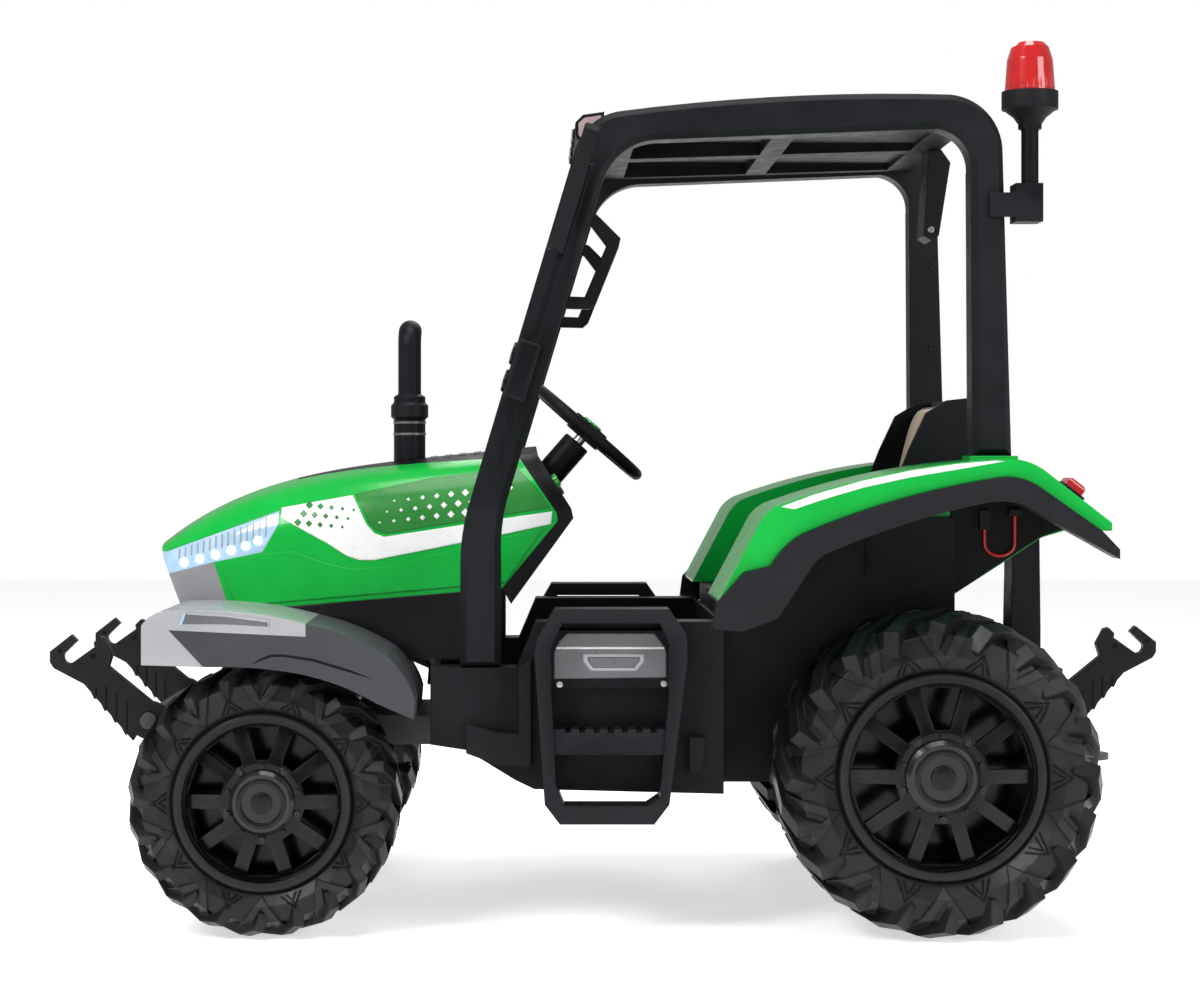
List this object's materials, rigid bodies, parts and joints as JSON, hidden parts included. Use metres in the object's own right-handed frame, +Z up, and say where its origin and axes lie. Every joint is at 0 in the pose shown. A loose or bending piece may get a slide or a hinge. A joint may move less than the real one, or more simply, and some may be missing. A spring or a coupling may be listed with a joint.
{
  "type": "ride-on toy tractor",
  "caption": "Battery ride-on toy tractor with an open cab, sloping hood, lugged wheels that steer, a seat, hook arms at both ends and a roof beacon.",
  "frame": {"origin": "on the ground, midway between the front and rear hook tips, on the middle plane", "axes": "+X towards the rear of the tractor, +Y to its right side, +Z up"},
  "size_m": [1.506, 0.752, 1.142],
  "materials": {
    "green": "glossy moulded",
    "charcoal": "fine grain moulded",
    "black_gloss": "glossy moulded",
    "silver": "silver sprayed",
    "tyre": "moulded lugs",
    "rim": "glossy moulded",
    "cap": "glossy moulded",
    "lamp_clear": "clear lens",
    "lamp_red": "tinted lens",
    "seat_beige": "soft grained",
    "steel": "zinc plated",
    "frame_steel": "powder coated",
    "button_green": "glossy moulded",
    "chrome_grey": "dark silver sprayed",
    "lead": "insulated wire"
  },
  "bodies": {
    "chassis": {"arch_trims": "charcoal", "battery": "charcoal", "battery_lead": "lead", "battery_plug": "charcoal", "beacon_lens": "lamp_red", "beacon_stand": "charcoal", "cab_frames": "charcoal", "cab_rear_board": "charcoal", "chassis_tub": "charcoal", "dash_cowl": "charcoal", "drive_units": "charcoal", "engine_cover": "charcoal", "exhaust_stack": "chrome_grey", "fender_nose_caps": "silver", "front_axle_beam": "frame_steel", "front_fenders": "charcoal", "front_subframe": "frame_steel", "grab_handles": "charcoal", "headlamps": "lamp_clear", "hood_shell": "green", "hood_top_panel": "black_gloss", "nose_grille": "silver", "pedal_bracket": "charcoal", "rear_axle": "steel", "rear_deck": "charcoal", "rear_fenders": "green", "rear_housing": "charcoal", "roof_lamp_bar": "charcoal", "roof_panel": "charcoal", "seat_pads": "seat_beige", "seat_shell": "charcoal", "step_frames": "charcoal", "tail_lamps": "lamp_red", "tow_bar": "frame_steel", "work_lamps": "charcoal"},
    "front_wheel_left": {"front_tyre_left": "tyre", "front_rim_left": "rim", "front_hub_cap_left": "cap"},
    "front_wheel_right": {"front_tyre_right": "tyre", "front_rim_right": "rim", "front_hub_cap_right": "cap"},
    "rear_wheel_left": {"rear_tyre_left": "tyre", "rear_rim_left": "rim", "rear_hub_cap_left": "cap"},
    "rear_wheel_right": {"rear_tyre_right": "tyre", "rear_rim_right": "rim", "rear_hub_cap_right": "cap"},
    "knuckle_left": {"steering_knuckle_left": "steel"},
    "knuckle_right": {"steering_knuckle_right": "steel"},
    "tie_rod_body": {"tie_rod": "steel"},
    "steering": {"steering_wheel": "charcoal", "steering_shaft": "steel"},
    "horn": {"horn_button": "button_green"},
    "start": {"start_button": "button_green"},
    "pedal_body": {"pedal": "charcoal"},
    "mirror_l": {"mirror_left": "charcoal"},
    "mirror_r": {"mirror_right": "charcoal"},
    "front_arm_left": {"front_hook_arm_left": "charcoal"},
    "front_arm_right": {"front_hook_arm_right": "charcoal"},
    "rear_arm": {"rear_hook_arm": "charcoal"}
  },
  "joints": [
    {"name": "steering_turn", "type": "hinge", "parent": "chassis", "child": "steering", "pos_m": [-0.039, 0, 0.646], "axis": [0.6574, 0, 0.7536], "range_deg": [-48, 48]},
    {"name": "tie_rod_slide", "type": "slide", "parent": "chassis", "child": "tie_rod_body", "axis": [0, 1, 0], "range_m": [-0.0182, 0.0182]},
    {"name": "kingpin_left", "type": "hinge", "parent": "chassis", "child": "knuckle_left", "pos_m": [-0.456, -0.205, 0.174], "axis": [0, 0, 1], "range_deg": [-15, 15]},
    {"name": "kingpin_right", "type": "hinge", "parent": "chassis", "child": "knuckle_right", "pos_m": [-0.456, 0.205, 0.174], "axis": [0, 0, 1], "range_deg": [-15, 15]},
    {"name": "front_wheel_left_spin", "type": "hinge", "parent": "knuckle_left", "child": "front_wheel_left", "pos_m": [-0.456, -0.285, 0.174], "axis": [0, 1, 0], "continuous": true},
    {"name": "front_wheel_right_spin", "type": "hinge", "parent": "knuckle_right", "child": "front_wheel_right", "pos_m": [-0.456, 0.285, 0.174], "axis": [0, 1, 0], "continuous": true},
    {"name": "rear_wheel_left_spin", "type": "hinge", "parent": "chassis", "child": "rear_wheel_left", "pos_m": [0.401, -0.28, 0.208], "axis": [0, 1, 0], "continuous": true},
    {"name": "rear_wheel_right_spin", "type": "hinge", "parent": "chassis", "child": "rear_wheel_right", "pos_m": [0.401, 0.28, 0.208], "axis": [0, 1, 0], "continuous": true},
    {"name": "horn_press", "type": "slide", "parent": "steering", "child": "horn", "axis": [-0.6574, 0, -0.7536], "range_m": [0, 0.003], "stiffness_N_per_m": 800, "springref_m": -0.001},
    {"name": "start_press", "type": "slide", "parent": "chassis", "child": "start", "axis": [-0.8471, 0, -0.5314], "range_m": [0, 0.003], "stiffness_N_per_m": 800, "springref_m": -0.001},
    {"name": "pedal_press", "type": "hinge", "parent": "chassis", "child": "pedal_body", "pos_m": [-0.133, 0.095, 0.234], "axis": [0, -1, 0], "range_deg": [0, 12], "stiffness_Nm_per_rad": 2, "springref_deg": -11.46},
    {"name": "mirror_left_fold", "type": "hinge", "parent": "chassis", "child": "mirror_l", "pos_m": [-0.062, -0.314, 0.948], "axis": [0.289, 0, 0.9573], "range_deg": [-25, 60]},
    {"name": "mirror_right_fold", "type": "hinge", "parent": "chassis", "child": "mirror_r", "pos_m": [-0.062, 0.314, 0.948], "axis": [-0.289, 0, -0.9573], "range_deg": [-25, 60]},
    {"name": "front_arm_left_tilt", "type": "hinge", "parent": "chassis", "child": "front_arm_left", "pos_m": [-0.622, -0.176, 0.262], "axis": [0, 1, 0], "range_deg": [-30, 22]},
    {"name": "front_arm_right_tilt", "type": "hinge", "parent": "chassis", "child": "front_arm_right", "pos_m": [-0.622, 0.176, 0.262], "axis": [0, 1, 0], "range_deg": [-30, 22]},
    {"name": "rear_arm_tilt", "type": "hinge", "parent": "chassis", "child": "rear_arm", "pos_m": [0.622, 0, 0.262], "axis": [0, -1, 0], "range_deg": [-30, 22]}
  ],
  "couplings": [
    {"joint": "tie_rod_slide", "follows": "steering_turn", "m_per_rad": 0.021626},
    {"joint": "kingpin_left", "follows": "steering_turn", "ratio": 0.3125},
    {"joint": "kingpin_right", "follows": "steering_turn", "ratio": 0.3125}
  ]
}
